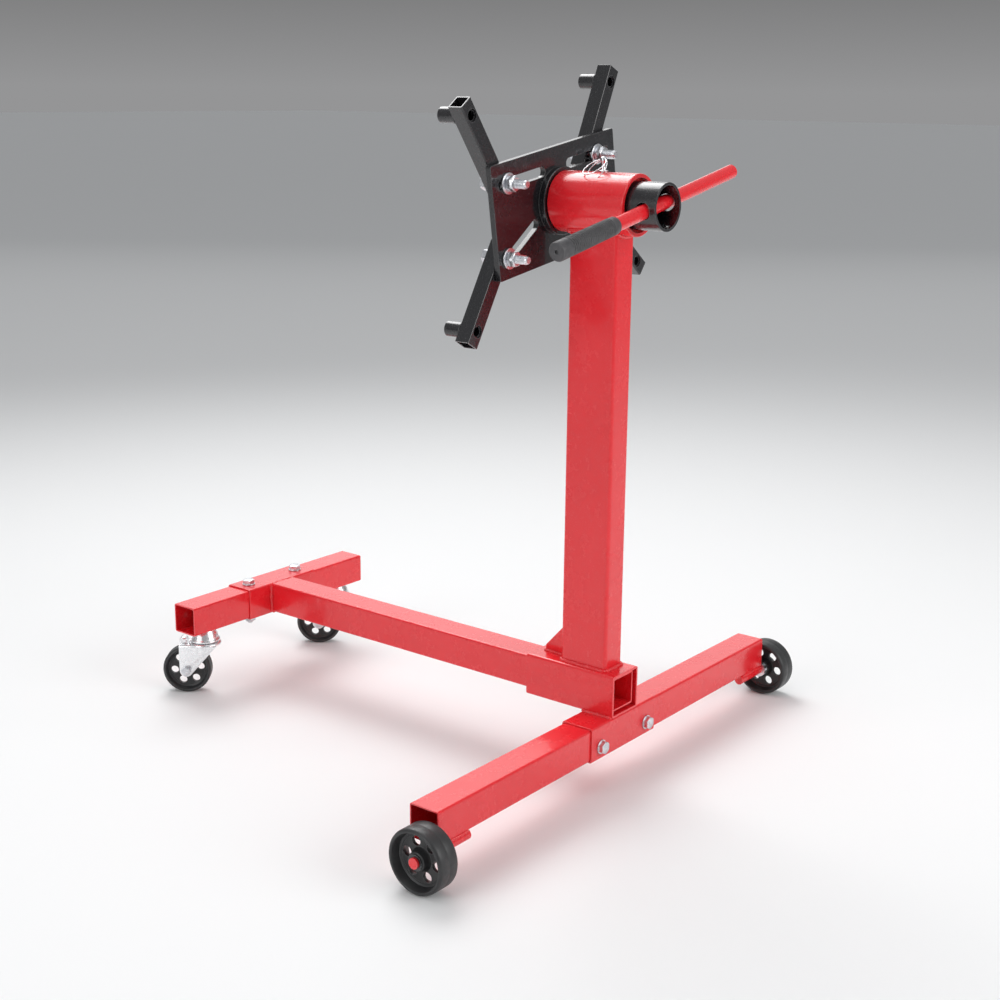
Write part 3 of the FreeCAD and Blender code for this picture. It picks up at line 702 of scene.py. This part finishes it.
def satin_black(name, dark, light, gloss, grain):
    """Black enamel over a casting: pebbled skin, rims and edges lighter partly from rubbing and partly from a
    painted highlight, a little dust.
    """
    made, tree, shader, place = start_material(name, gloss, coat=0.15, coat_roughness=0.25)
    patches = between(tree, noise_on(tree, place, 0.018, 5, 0.6), 0, 1)
    body = mixed(tree, patches, dark, tuple(0.6 * c + 0.1 * w for c, w in zip(dark, light)))
    # Lighter rims and edges: partly rubbed enamel, partly a painted highlight.
    worn_and_sheen_edges = edge_wear_and_sheen_mask(tree, 0.0013)
    tree.links.new(mixed(tree, worn_and_sheen_edges, body, light), shader.inputs["Base Color"])
    scuffs = noise_on(tree, place, 0.006, 6, 0.75)
    tree.links.new(between(tree, scuffs, gloss, gloss + 0.2, 0.4, 0.7), shader.inputs["Roughness"])
    pebbles = bumped(tree, noise_on(tree, place, grain, 3), 0.0003, 0.35)
    fine = bumped(tree, noise_on(tree, place, grain / 4, 2), 0.00008, 0.3, pebbles)
    tree.links.new(fine, shader.inputs["Normal"])
    return made


# RUBBED_AND_SHEEN_ENAMEL is the edge colour: partly rubbed enamel, partly a painted highlight.
ENAMEL, RUBBED_AND_SHEEN_ENAMEL, CAST_GRAIN = (0.020, 0.020, 0.021), (0.13, 0.13, 0.135), 0.0018
wheel_black = satin_black("wheel_black", ENAMEL, RUBBED_AND_SHEEN_ENAMEL, 0.42, CAST_GRAIN)


def turned(name, outline, steps=96):
    """Spin a closed outline of (distance from the X axis, place along it) into a round piece."""
    deselect()
    bpy.ops.mesh.primitive_plane_add(size=0.001)
    piece = bpy.context.object
    piece.name = name
    edit_all()
    bpy.ops.mesh.select_mode(type="VERT")
    bpy.ops.mesh.merge(type="CENTER")
    bpy.ops.mesh.select_all(action="SELECT")
    bpy.ops.transform.translate(value=(outline[0][1], 0, outline[0][0]))
    on_axis = outline[0][0] == 0 and outline[-1][0] == 0
    rest = outline[1:] + ([] if on_axis else outline[:1])
    for (radius, x), (last_radius, last_x) in zip(rest, outline):
        bpy.ops.mesh.extrude_region_move(
            TRANSFORM_OT_translate={"value": (x - last_x, 0, radius - last_radius)})
    bpy.ops.mesh.select_all(action="SELECT")
    bpy.ops.mesh.remove_doubles(threshold=0.000001)
    bpy.ops.mesh.spin(steps=steps, angle=2 * pi, center=(0, 0, 0), axis=(1, 0, 0))
    bpy.ops.mesh.select_all(action="SELECT")
    bpy.ops.mesh.remove_doubles(threshold=0.000001)
    bpy.ops.mesh.normals_make_consistent(inside=False)
    bpy.ops.object.mode_set(mode="OBJECT")
    return piece


def round_edges(piece, width):
    apply_modifier(piece, "BEVEL", width=width, segments=2, limit_method="ANGLE", angle_limit=radians(32))


def cast_wheel(name, radius, width, hub_radius, hub_length, bore, hole_radius, hole_circle, rim):
    """A wheel about the X axis at the origin: rim, dished web with holes, and hub."""
    half, hub_half = width / 2, hub_length / 2
    web, inner = 0.0024, radius - rim
    face = [
        (bore, hub_half),
        (hub_radius - 0.0012, hub_half),
        (hub_radius, hub_half - 0.0009),
        (hub_radius + 0.0007, web + 0.0035),
        (hub_radius + 0.0022, web + 0.0009),
        (hub_radius + 0.0030, web),
        (inner - 0.0058, web),
        (inner - 0.0050, web + 0.0011),
        (inner - 0.0026, web + 0.0019),
        (inner - 0.0004, half - 0.0016),
        (inner + 0.0006, half - 0.0003),
        (inner + 0.0014, half),
        (radius - 0.0034, half),
        (radius - 0.0017, half - 0.0008),
        (radius - 0.0006, half - 0.0021),
        (radius, half - 0.0042),
        (radius, 0.0007),
    ]
    other_face = [(r, -x) for r, x in reversed(face)]
    outline = face + [(radius - 0.0002, 0)] + other_face
    wheel = turned(name, outline)
    holes = []
    for step in range(6):
        angle = radians(60 * step + 8)
        y, z = hole_circle * cos(angle), hole_circle * sin(angle)
        holes.append(cylinder(hole_radius, (-0.02, y, z), (0.02, y, z), 40))
    cut(wheel, join(holes, "holes"))
    round_edges(wheel, 0.0005)
    smooth(wheel, 40)
    wheel.data.materials.append(wheel_black)
    return wheel


wheel_low, wheel_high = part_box("rear_wheel_right")
wheel_radius = (wheel_high.z - wheel_low.z) / 2
wheel_width = wheel_high.x - wheel_low.x
wheel_middle = (wheel_low + wheel_high) / 2
AXLE_HEIGHT = 0.042
wheel_blank = cast_wheel("rear_wheel", wheel_radius - 0.0001, wheel_width, hub_radius=0.0125,
                         hub_length=0.026, bore=0.00706, hole_radius=0.0066, hole_circle=0.023, rim=0.0055)
for side, hand in ((-1, "left"), (1, "right")):
    rear_wheel = f"rear_wheel_{hand}"
    spot = Matrix.Translation((side * wheel_middle.x, axle_y, AXLE_HEIGHT))
    copy_of(wheel_blank, f"cast_{rear_wheel}", spot, rear_wheel, "wheel", rear_wheel)
remove(wheel_blank)
coat_nodes(bolt_zinc, "axle_washers")

# THIN_AND_SHEEN_BLACK is the pale grey of the flecks and the edges. On the edges it is partly thin paint and
# partly a painted highlight.
BLACK, WARM_BLACK, THIN_AND_SHEEN_BLACK = (0.006, 0.006, 0.008), (0.011, 0.010, 0.012), (0.30, 0.30, 0.31)
black_coat = powder_coat("black_enamel", BLACK, WARM_BLACK, THIN_AND_SHEEN_BLACK, 0.24)
coat_nodes(black_coat, "axle_clips")

# ---- Swivel casters ----
# A ball race and a forged stud bolted up through the front bar carry a fork that
# is blanked and folded from one zinc plated sheet, with a cast wheel on an M8 bolt.

FORK_BRIGHT, FORK_DULL = (0.92, 0.92, 0.93), (0.80, 0.81, 0.83)
fork_zinc = zinc_plate("zinc_plated_fork", FORK_BRIGHT, FORK_DULL, 0.20)
CASTER_WHEEL_RADIUS, CASTER_WHEEL_WIDTH = 0.0375, 0.024
FORK_SHEET, FORK_SIDE_GAP = 0.0025, 0.0015
M8_RADIUS, M8_FLATS, M8_HEAD, M8_NUT, M8_PITCH = 0.004, 0.013, 0.0053, 0.0068, 0.00125
kingpin_radius = 0.00506
joints = {joint["name"]: joint for joint in frame["joints"]}
kingpin = Vector(joints["caster_right_swivel"]["pos_m"])
run = Vector(joints["caster_wheel_right_spin"]["pos_m"]) - kingpin
trail = hypot(run.x, run.y)
swivel = atan2(run.y, run.x)
crown_bottom = 2 * CASTER_WHEEL_RADIUS + 0.002
crown_top = crown_bottom + 0.003
race_gap = crown_top + 0.003
fork_back, fork_eye = -0.019, 0.010
fork_front = trail + fork_eye
half_outside = CASTER_WHEEL_WIDTH / 2 + FORK_SIDE_GAP + FORK_SHEET


def cut_plate(outline, low_y, high_y):
    """A flat plate with this outline of (x, z) points, reaching from one y to another."""
    deselect()
    bpy.ops.mesh.primitive_plane_add(size=0.001)
    plate = bpy.context.object
    edit_all()
    bpy.ops.mesh.select_mode(type="VERT")
    bpy.ops.mesh.merge(type="CENTER")
    bpy.ops.mesh.select_all(action="SELECT")
    bpy.ops.transform.translate(value=(outline[0][0], low_y, outline[0][1]))
    for (x, z), (last_x, last_z) in zip(outline[1:] + outline[:1], outline):
        bpy.ops.mesh.extrude_region_move(TRANSFORM_OT_translate={"value": (x - last_x, 0, z - last_z)})
    bpy.ops.mesh.select_all(action="SELECT")
    bpy.ops.mesh.remove_doubles(threshold=0.000001)
    bpy.ops.mesh.edge_face_add()
    bpy.ops.mesh.extrude_region_move(TRANSFORM_OT_translate={"value": (0, high_y - low_y, 0)})
    bpy.ops.mesh.select_all(action="SELECT")
    bpy.ops.mesh.normals_make_consistent(inside=False)
    bpy.ops.object.mode_set(mode="OBJECT")
    return plate


# The sheet is folded over a block, so both bends are round. Then it is cut to the legs' outline.
deselect()
bpy.ops.mesh.primitive_cube_add(size=1)
fork = bpy.context.object
fork.scale = (fork_front - fork_back, 2 * half_outside, crown_top - 0.02)
fork.location = ((fork_front + fork_back) / 2, 0, (crown_top + 0.02) / 2)
settle(fork)
bpy.ops.object.mode_set(mode="EDIT")
pick("EDGE", lambda middle, way: abs(way.x) > 0.02 and middle.z > crown_top - 0.001)
bpy.ops.mesh.bevel(offset=0.0042, segments=6, affect="EDGES")
pick("FACE", lambda middle, normal: normal.z < -0.9 or abs(normal.x) > 0.9)
bpy.ops.mesh.delete(type="FACE")
bpy.ops.object.mode_set(mode="OBJECT")
apply_modifier(fork, "SOLIDIFY", thickness=FORK_SHEET, offset=-1, use_even_offset=True)

# The slanted rear edge runs from the crown's corner onto the round eye about the axle.
eye_middle = Vector((trail, 0, CASTER_WHEEL_RADIUS))
slant = eye_middle - Vector((fork_back, 0, crown_bottom))
slant_length = sqrt(slant.length ** 2 - fork_eye ** 2)
bearing = atan2(slant.z, slant.x) - atan2(fork_eye, slant_length)
EYE_STEPS = 20
legs = [(fork_back - 0.001, crown_top + 0.001), (fork_back - 0.001, crown_bottom + 0.0015)]
legs.append((fork_back, crown_bottom))
for step in range(EYE_STEPS + 1):
    angle = (bearing - pi / 2) * (1 - step / EYE_STEPS)
    legs.append((trail + fork_eye * cos(angle), CASTER_WHEEL_RADIUS + fork_eye * sin(angle)))
legs.append((fork_front, crown_top + 0.001))
cut(fork, cut_plate(legs, -0.03, 0.03), keep_common=True)

# The crown is drawn up into a low dome round the kingpin; the front edge is rolled over a wire.
dome = cylinder(0.025, (0, 0, crown_top - 0.001), (0, 0, crown_top), 72)
bpy.ops.object.mode_set(mode="EDIT")
pick("FACE", lambda middle, normal: normal.z > 0.9)
for rise, spread in ((0.0012, 0.985), (0.0012, 0.955), (0.0006, 0.93)):
    bpy.ops.mesh.extrude_region_move(TRANSFORM_OT_translate={"value": (0, 0, rise)})
    bpy.ops.transform.resize(value=(spread, spread, 1))
bpy.ops.object.mode_set(mode="OBJECT")
lip_x, lip_z, half_lip = trail + 0.0045, crown_top + 0.0035, 0.009
lip = cylinder(0.006, (lip_x, -half_lip, lip_z), (lip_x, half_lip, lip_z), 40)
apply_modifier(lip, "BEVEL", width=0.0018, segments=4, limit_method="ANGLE", angle_limit=radians(50))
for boss in (dome, lip):
    apply_modifier(fork, "BOOLEAN", object=boss, solver="EXACT", operation="UNION")
    remove(boss)
axle_end = Vector((0, 0.04, 0))
cut(fork, cylinder(kingpin_radius, (0, 0, 0.05), (0, 0, 0.12)),
    cylinder(M8_RADIUS + 0.0001, eye_middle - axle_end, eye_middle + axle_end, 32))
round_edges(fork, 0.0004)
smooth(fork, 40)
fork.data.materials.append(fork_zinc)

race_outline = [
    (0.0051, race_gap + 0.001), (0.0219, race_gap + 0.001), (0.0230, race_gap + 0.0015),
    (0.0235, race_gap + 0.0027), (0.0231, race_gap + 0.0041), (0.0216, race_gap + 0.0054),
    (0.0207, race_gap + 0.0080), (0.0196, race_gap + 0.0122), (0.0176, race_gap + 0.0162),
    (0.0164, race_gap + 0.0180), (0.0160, race_gap + 0.0204), (0.0051, race_gap + 0.0204),
]
race = turned("race", race_outline, 72)
settle(race, Matrix.Rotation(-pi / 2, 4, "Y"))
smooth(race, 40)
race.data.materials.append(fork_zinc)

caster_wheel = cast_wheel("caster_wheel", CASTER_WHEEL_RADIUS - 0.0002, CASTER_WHEEL_WIDTH,
                          hub_radius=0.0095, hub_length=0.026, bore=0.00406, hole_radius=0.006,
                          hole_circle=0.0205, rim=0.0050)
settle(caster_wheel, Matrix.Translation(eye_middle) @ Matrix.Rotation(pi / 2, 4, "Z"))
axle_bolt = hex_bolt(M8_RADIUS, M8_FLATS, M8_HEAD, 2 * half_outside + 0.0105, M8_PITCH, 0.016)
axle_bolt.data.materials.append(bolt_zinc)
settle(axle_bolt, along(eye_middle + Vector((0, half_outside, 0)), (0, -1, 0)))
axle_nut = hex_nut(M8_RADIUS, M8_FLATS, M8_NUT)
axle_nut.data.materials.append(bolt_zinc)
settle(axle_nut, along(eye_middle - Vector((0, half_outside, 0)), (0, -1, 0)))

for side, hand in ((-1, "left"), (1, "right")):
    under_bar = Matrix.Translation((side * kingpin.x, kingpin.y, 0))
    turned_back = under_bar @ Matrix.Rotation(swivel, 4, "Z")
    caster, wheel_body = f"caster_{hand}", f"caster_wheel_{hand}"
    copy_of(race, f"ball_race_{hand}", under_bar, "frame", "zinc", "caster_races")
    copy_of(fork, f"folded_fork_{hand}", turned_back, caster, "zinc", f"caster_fork_{hand}")
    copy_of(caster_wheel, f"cast_caster_wheel_{hand}", turned_back, wheel_body, "wheel", wheel_body)
    copy_of(axle_bolt, f"caster_bolt_{hand}", turned_back, caster, "zinc", f"caster_axle_{hand}")
    copy_of(axle_nut, f"caster_nut_{hand}", turned_back, caster, "zinc", f"caster_axle_nut_{hand}")
remove(fork, race, caster_wheel, axle_bolt, axle_nut)
coat_nodes(bolt_zinc, "caster_studs", "caster_stud_nuts")

# ---- Turning head ----
# A black enamelled tube turns in the collar. A thick flange and a slotted plate are
# welded on its far end, with one fine bead round the flange where it meets the plate.

coat_nodes(black_coat, "head_tube", "head_flange", "head_plate")
flange_low, flange_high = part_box("head_flange")
flange_radius = (flange_high.x - flange_low.x) / 2
round_flange = Matrix.Translation((0, flange_high.y - 0.0008, axis_z)) @ hang
weld("weld_flange", black_coat, "black_paint", "head",
     round_bead(flange_radius - 0.0006, 2 * pi, 0.0011, round_flange))

# ---- Handle bar and its grip ----
# A red painted rod is pushed loosely through the head tube. A soft black rubber sleeve
# covers its near end, with fine rings moulded round its middle and a small hole in its
# closed end that let the air out.

coat_nodes(red_coat, "handle_bar")


def ribbed_rubber(name):
    """Soft black rubber: a bloom of dust, edges lighter partly with dust and partly with a painted highlight,
    faint grain, duller where hands rub it.
    """
    made, tree, shader, place = start_material(name, 0.6)
    bloom = between(tree, noise_on(tree, place, 0.012, 5, 0.65), 0, 1)
    body = mixed(tree, bloom, (0.048, 0.046, 0.049), (0.084, 0.081, 0.086))
    # Lighter edges and rib crests: partly dust, partly a painted highlight.
    dust_and_sheen_edges = mixed(tree, edge_wear_and_sheen_mask(tree, 0.0007), body, (0.22, 0.22, 0.22))
    tree.links.new(dust_and_sheen_edges, shader.inputs["Base Color"])
    rubbed = noise_on(tree, place, 0.008, 4)
    tree.links.new(between(tree, rubbed, 0.45, 0.68), shader.inputs["Roughness"])
    tree.links.new(bumped(tree, noise_on(tree, place, 0.0006, 3), 0.00008, 0.4), shader.inputs["Normal"])
    return made


GRIP_OUTER, GRIP_INNER_END = 0.012, 0.0112
GRIP_NEAR, GRIP_LENGTH, GRIP_END_WALL = -0.212, 0.120, 0.003
RIB_PITCH, RIB_DEPTH, RIB_COUNT = 0.0037, 0.0011, 24
bar_low, bar_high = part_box("handle_bar")
handle_y = (bar_low.y + bar_high.y) / 2
handle_radius = (bar_high.y - bar_low.y) / 2
grip_far = GRIP_NEAR + GRIP_LENGTH
hole_end = GRIP_NEAR + GRIP_END_WALL - 0.0003
grip_outline = [(0, hole_end), (0.0026, hole_end), (0.0026, GRIP_NEAR + 0.0005), (0.0031, GRIP_NEAR),
                (0.0098, GRIP_NEAR), (0.0112, GRIP_NEAR + 0.0005),
                (0.0119, GRIP_NEAR + 0.0018), (GRIP_OUTER, GRIP_NEAR + 0.0034)]
first_rib = GRIP_NEAR + 0.020
for rib in range(RIB_COUNT):
    x = first_rib + rib * RIB_PITCH
    crest = GRIP_OUTER - 0.0005 * rib / RIB_COUNT
    grip_outline += [(crest, x), (crest - RIB_DEPTH, x + 0.0007),
                     (crest - RIB_DEPTH, x + 0.0015), (crest, x + 0.0022)]
grip_outline += [(GRIP_INNER_END, grip_far - 0.0012), (GRIP_INNER_END - 0.0006, grip_far),
                 (handle_radius, grip_far), (handle_radius, GRIP_NEAR + GRIP_END_WALL),
                 (0, GRIP_NEAR + GRIP_END_WALL)]
grip = turned("rubber_grip", grip_outline, 72)
handle_way = Vector(joints["handle_slide"]["axis"])
axis_point = Vector((0, handle_y, axis_z))
lie_along = Vector((1, 0, 0)).rotation_difference(handle_way).to_matrix().to_4x4()
settle(grip, Matrix.Translation(axis_point) @ lie_along)
smooth(grip, 40)
finish_piece(grip, ribbed_rubber("grip_rubber"), "handle", "grip_rubber", "handle_grip")

# ---- Arms, their bolts and the welds of their sleeves ----
# Each arm is a black enamelled square tube, clamped by an M12 set screw through the plate's
# slot, with a washer and a nut on the handle side. A short sleeve is welded through the
# arm's outer end.

M12_RADIUS, M12_FLATS, M12_HEAD, M12_NUT, M12_PITCH = 0.006, 0.018, 0.0075, 0.0105, 0.00175
TURN_APART = 17
sleeves = {mount["name"]: mount for mount in frame["record"]["mounts"]}
arm_nut_blank = hex_nut(M12_RADIUS, M12_FLATS, M12_NUT)
arm_washer_blank = flat_washer(0.0135, M12_RADIUS + WASHER_SLACK, 0.0025)
bolt_low, bolt_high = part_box("arm_bolt_upper_left")
arm_bolt_length = bolt_high.y - bolt_low.y - M12_HEAD
arm_bolt_blank = hex_bolt(M12_RADIUS, M12_FLATS, M12_HEAD, arm_bolt_length, M12_PITCH, 0.036)
for blank in (arm_nut_blank, arm_washer_blank, arm_bolt_blank):
    blank.data.materials.append(bolt_zinc)
to_handle = Vector((0, -1, 0))
for place, corner in enumerate(("upper_left", "upper_right", "lower_left", "lower_right")):
    clamp = "clamp_" + corner
    pivot = Vector(joints[f"arm_{corner}_swing"]["pos_m"])
    turn_about = Matrix.Rotation(radians(TURN_APART * place), 4, "Z")
    coat_nodes(black_coat, "arm_" + corner, "arm_sleeve_" + corner)
    for blank, new, old, node_face in (
            (arm_bolt_blank, "set_screw_", "arm_bolt_", bolt_high.y - M12_HEAD),
            (arm_washer_blank, "clamp_washer_", "arm_washer_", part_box("arm_washer_" + corner)[1].y),
            (arm_nut_blank, "clamp_nut_", "arm_nut_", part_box("arm_nut_" + corner)[1].y)):
        spot = Vector((pivot.x, node_face, pivot.z))
        copy_of(blank, new + corner, along(spot, to_handle) @ turn_about, clamp, "zinc", old + corner)
    sleeve = Vector(sleeves["engine_bolt_" + corner]["pos_m"])
    arm_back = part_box("arm_" + corner)[1].y
    sleeve_low, sleeve_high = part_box("arm_sleeve_" + corner)
    ring_at = Matrix.Translation((sleeve.x, arm_back + 0.0003, sleeve.z)) @ hang
    weld("weld_sleeve_" + corner, black_coat, "black_paint", "arm_" + corner,
         round_bead((sleeve_high.x - sleeve_low.x) / 2 + 0.0003, 2 * pi, 0.0013, ring_at))
remove(arm_nut_blank, arm_washer_blank, arm_bolt_blank)

# ---- Lock pin and its ring ----
# A turned steel pin drops through the collar into the head's tube. A spring steel
# split ring of two turns hangs through its eye, and both are bright zinc plated.

pin_zinc = zinc_plate("zinc_plated_pin", (0.88, 0.88, 0.89), (0.66, 0.67, 0.70), 0.14)
pin_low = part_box("lock_pin")[0]
eye = Vector(joints["lock_ring_swing"]["pos_m"])
through = Vector(joints["lock_ring_swing"]["axis"]).normalized()
SHOULDER_ABOVE_COLLAR, KNOB = 0.0003, 0.0042
pin_foot, shoulder = pin_low.z, collar_high.z + SHOULDER_ABOVE_COLLAR
pin_outline = [
    (0, pin_foot), (0.0040, pin_foot), (0.0050, pin_foot + 0.0011), (0.0050, shoulder),
    (0.0056, shoulder),
    (0.0060, shoulder + 0.0004), (0.0060, shoulder + 0.0012), (0.0056, shoulder + 0.0016),
    (0.0033, shoulder + 0.0017), (0.0026, shoulder + 0.0026), (0.0024, shoulder + 0.0060),
    (0.0026, eye.z - 0.0046), (0.0035, eye.z - 0.0029), (0.0041, eye.z - 0.0011), (KNOB, eye.z),
    (0.0040, eye.z + 0.0013), (0.0032, eye.z + 0.0027), (0.0019, eye.z + 0.0037), (0, eye.z + KNOB),
]
pin = turned("turned_lock_pin", pin_outline, 48)
settle(pin, Matrix.Translation((0, eye.y, 0)) @ Matrix.Rotation(-pi / 2, 4, "Y"))
cut(pin, cylinder(0.0019, eye - through * 0.01, eye + through * 0.01, 32))
round_edges(pin, 0.0003)
smooth(pin, 40)
finish_piece(pin, pin_zinc, "lock_pin", "zinc", "lock_pin")

# The ring's two turns are sprung apart: the second stands up from the first at the eye.
WIRE, RING_RADIUS, RING_DROOP, WIRE_SIDES = 0.00065, 0.0165, radians(36), 24
COIL_RISE = WIRE * 2.1
spread = 2 * pi / WIRE_SIDES
away = through.cross(ROUND) * -cos(RING_DROOP) - ROUND * sin(RING_DROOP)
lie_over = Matrix((away, through, away.cross(through))).transposed().to_4x4()
coils = []
for coil in (0, 1):
    deselect()
    bpy.ops.mesh.primitive_circle_add(vertices=WIRE_SIDES, radius=WIRE, rotation=(pi / 2, 0, 0),
                                      location=(-RING_RADIUS, 0, COIL_RISE * (coil - 1)))
    wire = bpy.context.object
    settle(wire)
    apply_modifier(wire, "SCREW", angle=2 * pi, screw_offset=COIL_RISE, iterations=1, steps=64,
                   render_steps=64, use_normal_calculate=True)
    settle(wire, Matrix.Translation((RING_RADIUS, 0, 0)))
    settle(wire, Matrix.Rotation((0.1 - coil) * spread, 4, "Y"))
    coils.append(wire)
split_ring = join(coils, "split_ring")
edit_all()
bpy.ops.mesh.remove_doubles(threshold=0.00004)
bpy.ops.mesh.select_all(action="DESELECT")
bpy.ops.mesh.select_mode(type="EDGE")
bpy.ops.mesh.select_non_manifold()
bpy.ops.mesh.fill_holes(sides=0)
bpy.ops.mesh.select_all(action="SELECT")
bpy.ops.mesh.normals_make_consistent(inside=False)
bpy.ops.object.mode_set(mode="OBJECT")
settle(split_ring, Matrix.Translation(eye) @ lie_over)
smooth(split_ring, 60)
finish_piece(split_ring, pin_zinc, "lock_ring", "zinc", "lock_ring")
